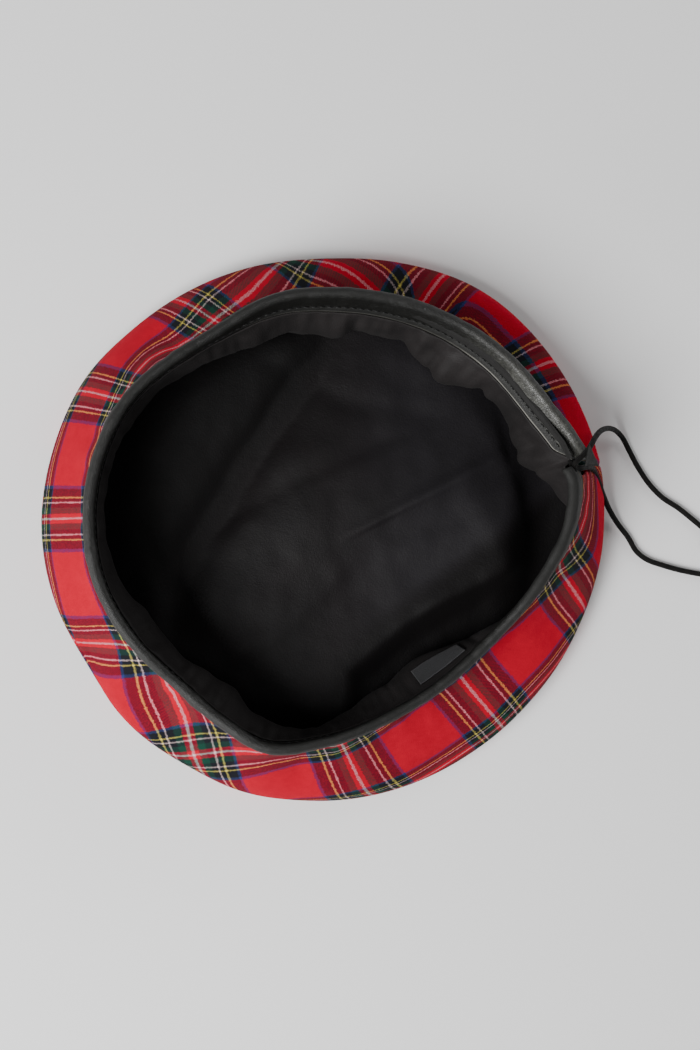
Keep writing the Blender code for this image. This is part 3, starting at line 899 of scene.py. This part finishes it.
def label_board():
    """A bare woven label with a selvedge. Its UV map holds shares of its length and depth."""
    board = Board("label", Roughness=0.55, Sheen_Weight=0.1)
    across, along = board.map()
    ribs = (across * 620).sine() * 0.5 + 0.5
    rows = (along * 300).sine() * 0.5 + 0.5
    edge = 1 - along.wave(0.5).step(0.03, 0.07)
    base = colour_of("label")
    cloth = board.blend(ribs * 0.35 + rows * 0.25, base, scaled(base, 0.55))
    board.feed("Base Color", board.blend(edge, cloth, scaled(base, 1.5)))
    board.feed("Normal", board.relief(ribs * rows, 0.00015, 0.6))
    return board


def floor_board():
    """A matt pale surface."""
    board = Board("floor", Roughness=0.95)
    grain = board.noise(board.here(), 40, 3.0)
    base = colour_of("floor")
    board.feed("Base Color", board.blend(grain * 0.2, base, scaled(base, 0.98)))
    return board


MAKERS = {
    "tartan": tartan_board, "lining": lining_board, "leather": leather_board, "label": label_board,
    "side_lining": lambda: lining_board("side_lining", painted_crown_shading=False), "floor": floor_board,
    "cord": cord_board, "cord_inside": cord_inside_board, "sewing_thread": thread_board,
}
BOARDS = {}


def board(name):
    """The one board of a name, made when it is first asked for."""
    if name not in BOARDS:
        BOARDS[name] = MAKERS[name]()
    return BOARDS[name]


def smooth_route(points, spacing):
    """Evenly spread points on a smooth curve through a route's own points."""
    steps = 8
    route = [Vector(point) for point in points]
    ends = [2 * route[0] - route[1], *route, 2 * route[-1] - route[-2]]
    fine = []
    for a, b, c, d in zip(ends, ends[1:], ends[2:], ends[3:]):
        for step in range(steps):
            t = step / steps
            fine.append(0.5 * (2 * b + (c - a) * t + (2 * a - 5 * b + 4 * c - d) * t * t
                               + (3 * b - a - 3 * c + d) * t ** 3))
    fine.append(route[-1])
    distances = [0.0]
    for a, b in zip(fine, fine[1:]):
        distances.append(distances[-1] + (b - a).length)
    count = max(2, round(distances[-1] / spacing))
    even = []
    for step in range(count + 1):
        wanted = distances[-1] * step / count
        index = max(i for i in range(len(fine) - 1) if distances[i] <= wanted)
        share = (wanted - distances[index]) / (distances[index + 1] - distances[index])
        even.append(fine[index].lerp(fine[index + 1], min(share, 1)))
    return even, distances[-1]


def tube(name, points, radius, finish_board, sides=20):
    """A closed round tube along points. Its UV map holds metres along it and radians round it."""
    last = len(points) - 1
    ways = [(points[min(k + 1, last)] - points[max(k - 1, 0)]).normalized() for k in range(last + 1)]
    across = [ways[0].orthogonal().normalized()]
    for way in ways[1:]:
        kept = across[-1] - way * across[-1].dot(way)
        across.append(kept.normalized())
    reached = [0.0]
    for a, b in zip(points, points[1:]):
        reached.append(reached[-1] + (b - a).length)

    def bend(share, turn):
        k = round(share * last)
        angle = 2 * math.pi * turn
        side = across[k] * math.cos(angle) + ways[k].cross(across[k]) * math.sin(angle)
        return points[k] + side * radius

    def mark(share, turn):
        return reached[round(share * last)], turn * 2 * math.pi

    bm = bent_grid(last, sides, bend, mark)
    bmesh.ops.remove_doubles(bm, verts=bm.verts, dist=MERGE)
    bmesh.ops.holes_fill(bm, edges=[edge for edge in bm.edges if edge.is_boundary])
    return finish_mesh(name, bm, finish_board)


def knot_mesh(name, route):
    """A small tight overhand knot, pressed low on the surface."""
    strand = CORD * 0.34
    last, before = Vector(route[-1]), Vector(route[-2])
    way = (last - before).normalized()
    middle = last + way * (KNOT / 2 + GAP)
    middle.z = KNOT / 2 * KNOT_FLATNESS + GAP / 3
    heading = math.atan2(way.y, way.x)
    loops = []
    count = 96
    for k in range(count):
        turn = 2 * math.pi * k / count
        wide = 0.28 * KNOT * (1.35 + 0.75 * math.cos(3 * turn))
        high = 0.2 * KNOT * math.sin(3 * turn)
        loops.append(Vector((wide * math.cos(2 * turn), wide * math.sin(2 * turn), high)))
    far = max(spot.length for spot in loops) + strand
    share = KNOT / 2 / far
    turned = Matrix.Rotation(heading, 3, "Z")
    points = [middle + turned @ (spot * share) for spot in loops]
    points.append(points[0].copy())
    return tube(name, points, strand, board("cord"), sides=12)


class TamStage(bpy.types.Operator):
    """Make the floor, the lights and the camera"""
    bl_idname = "tam.stage"
    bl_label = "Stage"

    def execute(self, context):
        floor_height = -0.0002
        bm = bmesh.new()
        bmesh.ops.create_grid(bm, x_segments=2, y_segments=2, size=4)
        for vertex in bm.verts:
            vertex.co.z = floor_height
        mesh = bpy.data.meshes.new("floor")
        bm.to_mesh(mesh)
        bm.free()
        mesh.materials.append(board("floor").material)
        floor = bpy.data.objects.new("floor", mesh)
        context.scene.collection.objects.link(floor)

        world = bpy.data.worlds.new("studio")
        world.use_nodes = True
        sky = world.node_tree.nodes["Background"]
        sky.inputs["Color"].default_value = (1, 1, 1, 1)
        sky.inputs["Strength"].default_value = 0.18
        context.scene.world = world

        # Name, place in metres, width in metres and power in watts. All point at the origin.
        lamps = (
            ("window", (-0.86, -0.60, 1.04), 0.8, 36),
            ("low window", (-1.25, -0.62, 0.36), 0.5, 4),
            ("fill", (1.3, 0.85, 0.65), 1.0, 9),
        )
        for name, spot, size, power in lamps:
            light = bpy.data.lights.new(name, "AREA")
            light.size = size
            light.energy = power
            lamp = bpy.data.objects.new(name, light)
            lamp.location = spot
            lamp.rotation_euler = (-Vector(spot)).to_track_quat("-Z", "Y").to_euler()
            context.scene.collection.objects.link(lamp)

        lens = bpy.data.cameras.new("camera")
        lens.sensor_fit = "VERTICAL"
        lens.sensor_height = 36
        lens.lens = 53.6
        lens.clip_start = 0.01
        lens.dof.use_dof = False
        camera = bpy.data.objects.new("camera", lens)
        spot = Vector((-0.0865, -0.0283, 0.6861))
        target = Vector((0.0037, -0.0009, 0.055))
        ahead = (target - spot).normalized()
        roll = math.radians(0.16)
        right = ahead.cross(Vector((math.sin(roll), math.cos(roll), 0))).normalized()
        over = right.cross(ahead)
        turn = Matrix((right, over, -ahead)).transposed().to_4x4()
        camera.matrix_world = Matrix.Translation(spot) @ turn
        context.scene.collection.objects.link(camera)
        context.scene.camera = camera
        return {"FINISHED"}


class TamDrawstring(bpy.types.Operator):
    """Make the drawstring's two free ends and their knots"""
    bl_idname = "tam.drawstring"
    bl_label = "Drawstring"

    def execute(self, context):
        spacing = 0.0009
        for end, route in (("upper", UPPER_ROUTE), ("lower", LOWER_ROUTE)):
            points, length = smooth_route(route, spacing)
            cord = tube(f"cord_{end}", points, CORD / 2, board("cord"))
            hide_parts(f"drawstring_{end}")
            knot = knot_mesh(f"cord_knot_{end}", route)
            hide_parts(f"knot_{end}")
        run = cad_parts["drawstring_run"]
        run.data.materials.clear()
        run.data.materials.append(board("cord_inside").material)
        return {"FINISHED"}


class TamSideCloth(bpy.types.Operator):
    """Make the tartan ring between the crown's seam and the binding"""
    bl_idname = "tam.side_cloth"
    bl_label = "Side cloth"

    def execute(self, context):
        tuck_rows = 5
        rows = SIDE_ROWS + tuck_rows
        first_up = 0.09
        last_up = 1 + SEAM_BITE / SIDE_SLANT
        seam_height = SEAM_HEIGHT + CLOTH / 2 + SEAM_CLEAR
        joint = (BINDING_START + BINDING_END - 360) / 2
        notch_depth, notch_start, notch_full = 0.42, 4.0, 2.2

        def up_of(section, along):
            """The share of the slant, whose upper end drops in a notch at the binding's joint."""
            notch = notch_depth * smooth(notch_start, notch_full, abs(apart(section.azimuth, joint)))
            return first_up + (last_up - notch - first_up) * (along * rows - tuck_rows) / SIDE_ROWS

        def point(section, along):
            if along * rows >= tuck_rows - 0.001:
                return section.at(section.side(up_of(section, along)))
            first = section.side(first_up)
            t = along * rows / tuck_rows
            corner = Vector((section.crown, seam_height))
            curl = (
                corner - Vector((SEAM_TUCK, 0)), corner - Vector((SEAM_FOLD, 0)),
                Vector((first.x, seam_height + SEAM_RISE)), first,
            )
            return section.at(bezier(curl, t))

        def mark(section, along):
            return thread_spot(section.azimuth, up_of(section, along))

        cuts = cuts_round(SEAM_AZIMUTH, SEAM_AZIMUTH + 360, fine_ends=True)
        bm = round_the_hat(cuts, rows, point, mark)
        cloth = finish_mesh("side_cloth", bm, board("tartan"), CLOTH)
        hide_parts("side_band")
        return {"FINISHED"}


class TamCrownCloth(bpy.types.Operator):
    """Make the round of tartan that the hat lies on"""
    bl_idname = "tam.crown_cloth"
    bl_label = "Crown cloth"

    def execute(self, context):
        flat_rows, turn_rows, tuck_rows = 30, 12, 5
        rows = flat_rows + turn_rows + tuck_rows
        flat_height = CLOTH / 2
        edge_height = SEAM_HEIGHT - CLOTH / 2 - SEAM_CLEAR
        rise_end = edge_height - 0.0022
        turn_length, tuck_length = 0.0145, 0.006
        edge_waves = 0.0008
        tartan_heading = 24

        def line(section, along):
            """Reach and height at a share of the cloth, and its length from the middle."""
            flat = section.crown - CROWN_TURN
            row = along * rows
            if row <= flat_rows:
                reach = flat * row / flat_rows
                return Vector((reach, flat_height)), reach
            if row <= flat_rows + turn_rows:
                turn = (row - flat_rows) / turn_rows * math.pi / 2
                spot = Vector((
                    flat + CROWN_TURN * math.sin(turn),
                    flat_height + (rise_end - flat_height) * (1 - math.cos(turn)),
                ))
                return spot, flat + turn_length * turn / (math.pi / 2)
            t = (row - flat_rows - turn_rows) / tuck_rows
            corner = Vector((section.crown, edge_height))
            curl = (
                Vector((section.crown, rise_end)), Vector((section.crown, edge_height - SEAM_RISE)),
                corner - Vector((SEAM_FOLD, 0)), corner - Vector((SEAM_TUCK, 0)),
            )
            return bezier(curl, t), flat + turn_length + tuck_length * t

        def point(section, along):
            spot = line(section, along)[0]
            lift = ripple(section.azimuth, along, 9, 3.0, 4.4) * edge_waves
            spot.y += max(lift, -0.0001) * smooth(0.35, 0.7, along) * smooth(0.86, 0.74, along)
            return section.at(spot)

        def mark(section, along):
            length = line(section, along)[1]
            turn = math.radians(section.azimuth - tartan_heading)
            return length * math.cos(turn) / FIRST_REPEAT, length * math.sin(turn) / SECOND_REPEAT

        bm = round_the_hat(cuts_round(0, 360, 1.5), rows, point, mark)
        cloth = finish_mesh("crown_cloth", bm, board("tartan"), CLOTH)
        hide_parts("crown_panel")
        return {"FINISHED"}


def crease_height(x, y):
    """Height in metres that the creases of the crown lining add at a place in metres."""
    spot = Vector((x * 1000, y * 1000))
    total = 0.0
    for points, height, left, right in CREASES:
        best = None
        for k, (a, b) in enumerate(zip(points, points[1:])):
            start, way = Vector(a), Vector(b) - Vector(a)
            t = (spot - start).dot(way) / way.length_squared
            first, last = k == 0, k == len(points) - 2
            t = min(max(t, -CREASE_RUN_ON if first else 0), 1 + CREASE_RUN_ON if last else 1)
            offset = spot - start - way * t
            side = way.x * offset.y - way.y * offset.x
            beyond = max(0.0, -t, t - 1) * way.length
            if best is None or offset.length + beyond < best[0]:
                best = (offset.length + beyond, offset.length, side, beyond)
        width = left if best[2] > 0 else right
        total += height * math.exp(-(best[1] / width) ** 2 - (best[3] / CREASE_FADE) ** 2)
    return total / 1000


def lining_height(x, y):
    """Height of the crown lining over its lowest place, without its creases."""
    loft = LINING_REST
    for row in CROWN_LINING_FOLDS:
        fold = dict(zip(LOFT_COLUMNS, row))
        heading = math.radians(fold["heading"])
        dx, dy = x / CROWN_REACH - fold["x"], y / CROWN_REACH - fold["y"]
        along = (dx * math.cos(heading) + dy * math.sin(heading)) / fold["length"]
        across = (dy * math.cos(heading) - dx * math.sin(heading)) / fold["width"]
        loft += fold["height"] * math.exp(-along * along - across * across)
    return max(loft, 0) * LINING_LOFT


class TamLinings(bpy.types.Operator):
    """Make the loose linings of the crown and of the side"""
    bl_idname = "tam.linings"
    bl_label = "Linings"

    def execute(self, context):
        lowest = CLOTH + GAP + LINING / 2

        def point(section, share):
            flat = place(section.azimuth, section.crown * LINING_REACH * share, lowest)
            rise = lining_height(flat.x, flat.y) + crease_height(flat.x, flat.y)
            rise += noise.noise(Vector((flat.x * 45, flat.y * 45, 2.0))) * sizes().wrinkle_depth * 1.2
            rise += noise.noise(Vector((flat.x * 120, flat.y * 90, 7.0))) * sizes().wrinkle_depth * 0.5
            return flat + Vector((0, 0, max(rise, 0) * smooth(FOLDS_GONE, FOLDS_FULL, share)))

        def hang(section, share):
            return section.at(section.lining(share))

        bm = round_the_hat(cuts_round(0, 360, 1.5), 60, point)
        crown = finish_mesh("crown_lining_cloth", bm, board("lining"), LINING_WALL)
        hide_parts("crown_lining")

        bm = round_the_hat(cuts_round(0, 360, 0.8), 48, hang)
        side = finish_mesh("side_lining_cloth", bm, board("side_lining"), LINING_WALL)
        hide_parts("side_lining")
        return {"FINISHED"}


class TamBinding(bpy.types.Operator):
    """Make the leather binding, its stitches and its turned-back tab"""
    bl_idname = "tam.binding"
    bl_label = "Binding"

    def execute(self, context):
        rows = 30
        leaf_share = 0.4
        dip_depth, dip_spread = 0.0005, 0.025

        def skin(section, share):
            """The middle of the leather, puffed at its fold, wrinkled, and drawn in by the stitches."""
            spot, along, across = section.leaf(share)
            normal = section.out if across > 0 else -section.out
            if abs(across) < (binding_room() + LEATHER) / 2 * 0.98:
                normal = (section.out * across + section.up * (along - BINDING_HEIGHT * 0.8)).normalized()
            wrinkle = ripple(section.azimuth, share, 30, 3.0, 6.0) * 0.00022
            wrinkle += ripple(section.azimuth, share, 11, 2.0, 2.0) * 0.00035
            wrinkle = wrinkle * smooth(0, 0.1, share) * smooth(1, 0.9, share)
            bent = min(1.0, max(0.0, (share - leaf_share * 0.3) / (1 - leaf_share * 0.6)))
            puff = 0.0004 * math.sin(math.pi * bent)
            dip = dip_depth * math.exp(-((share - STITCH_ROW) / dip_spread) ** 2) if across < 0 else 0.0
            return section.at(spot + normal * (wrinkle + puff - dip))

        def mark(section, share):
            return math.radians(section.azimuth) * section.base.x, share

        cuts = cuts_round(BINDING_START, BINDING_END, 0.8)
        bm = round_the_hat(cuts, rows, skin, mark)
        strip = finish_mesh("leather_binding", bm, board("leather"), LEATHER)
        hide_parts("binding")

        seam = bmesh.new()
        size = sizes()
        azimuth = BINDING_START + 1
        while azimuth < BINDING_END - 1:
            section = Section(azimuth)
            spot = section.leaf(STITCH_ROW)[0]
            middle = section.at(spot - section.out * (LEATHER / 2 + size.stitch_width * 0.25))
            later = Section(azimuth + 0.3)
            way = (later.at(later.leaf(STITCH_ROW)[0]) - section.at(spot)).normalized()
            inward = (section.at(spot - section.out) - section.at(spot)).normalized()
            side = way.cross(inward).normalized()
            axes = way * size.stitch_length, inward * size.stitch_width, side * size.stitch_width
            bmesh.ops.create_uvsphere(
                seam, u_segments=6, v_segments=4, radius=0.5,
                matrix=Matrix.Translation(middle) @ Matrix(axes).transposed().to_4x4(),
            )
            azimuth += math.degrees(size.stitch_length * 1.3 / section.base.x)
        stitches = finish_mesh("binding_stitches", seam, board("sewing_thread"))

        joint = Section(BINDING_START - 0.3)
        turn = math.radians(joint.azimuth)
        outward = Vector((math.cos(turn), math.sin(turn), 0))
        onward = Vector((-math.sin(turn), math.cos(turn), 0))
        cord_place = BINDING_HEIGHT - LEATHER - GAP - CORD * CORD / (binding_room() - 2 * GAP) / 2 - GAP
        bm = bmesh.new()
        bmesh.ops.create_circle(bm, cap_ends=True, segments=len(TAB_CORNERS), radius=BINDING_HEIGHT)
        for vertex, (out, on, up) in zip(list(bm.verts), TAB_CORNERS):
            offset = outward * out + onward * on + Vector((0, 0, up))
            vertex.co = joint.at(joint.base + joint.up * cord_place) + offset * BINDING_HEIGHT
        bmesh.ops.subdivide_edges(bm, edges=bm.edges, cuts=10, use_grid_fill=True)
        # One place of the strip's UV map, clear of its edges, for the whole tab
        layer = bm.loops.layers.uv.new("cloth")
        for face in bm.faces:
            for loop in face.loops:
                loop[layer].uv = (0.1, 0.5)
        tab = finish_mesh("leather_tab", bm, board("leather"), LEATHER)
        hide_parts("binding_tab")
        return {"FINISHED"}


class TamLabel(bpy.types.Operator):
    """Make the bare care label on the side lining"""
    bl_idname = "tam.label"
    bl_label = "Care label"

    def execute(self, context):
        middle = Section(LABEL_AZIMUTH)
        columns, rows, steps = 52, 22, 20
        path = [middle.lining_path(step / steps) for step in range(steps + 1)]
        length = sum((b - a).length for a, b in zip(path, path[1:]))
        half_turn = math.degrees(LABEL_LENGTH / 2 / middle.base.x)
        cuts = [LABEL_AZIMUTH + (2 * k / columns - 1) * half_turn for k in range(columns + 1)]

        def point(section, along):
            share = LABEL_TOP + along * LABEL_DEPTH / length
            return section.at(section.lining(share, stand_off=LINING * 0.7 + GAP))

        def mark(section, along):
            return (section.azimuth - LABEL_AZIMUTH) / half_turn / 2 + 0.5, along

        bm = round_the_hat(cuts, rows, point, mark)
        label = finish_mesh("care_label_cloth", bm, board("label"), LABEL_CLOTH)
        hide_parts("care_label")
        return {"FINISHED"}


class TamPanel(bpy.types.Panel):
    """The hat's sizes, colours and pieces"""
    bl_idname = "TAM_PT_panel"
    bl_label = "Tam o' shanter"
    bl_space_type = "VIEW_3D"
    bl_region_type = "UI"
    bl_category = "Tam"

    def draw(self, context):
        for group in (context.scene.tam_sizes, context.scene.tam_colours):
            for name in group.__annotations__:
                self.layout.prop(group, name)
        for piece in PIECES:
            self.layout.operator(piece.bl_idname)


PIECES = (TamStage, TamDrawstring, TamSideCloth, TamCrownCloth, TamBinding, TamLinings, TamLabel)
CLASSES = (TamSizes, TamColours, *PIECES, TamPanel)


def register():
    for made in CLASSES:
        bpy.utils.register_class(made)
    bpy.types.Scene.tam_sizes = bpy.props.PointerProperty(type=TamSizes)
    bpy.types.Scene.tam_colours = bpy.props.PointerProperty(type=TamColours)


def unregister():
    del bpy.types.Scene.tam_colours
    del bpy.types.Scene.tam_sizes
    for made in reversed(CLASSES):
        bpy.utils.unregister_class(made)


def main():
    register()
    bpy.ops.tam.stage()
    bpy.ops.tam.drawstring()
    bpy.ops.tam.side_cloth()
    bpy.ops.tam.crown_cloth()
    bpy.ops.tam.binding()
    bpy.ops.tam.linings()
    bpy.ops.tam.label()


if __name__ == "__main__":
    main()
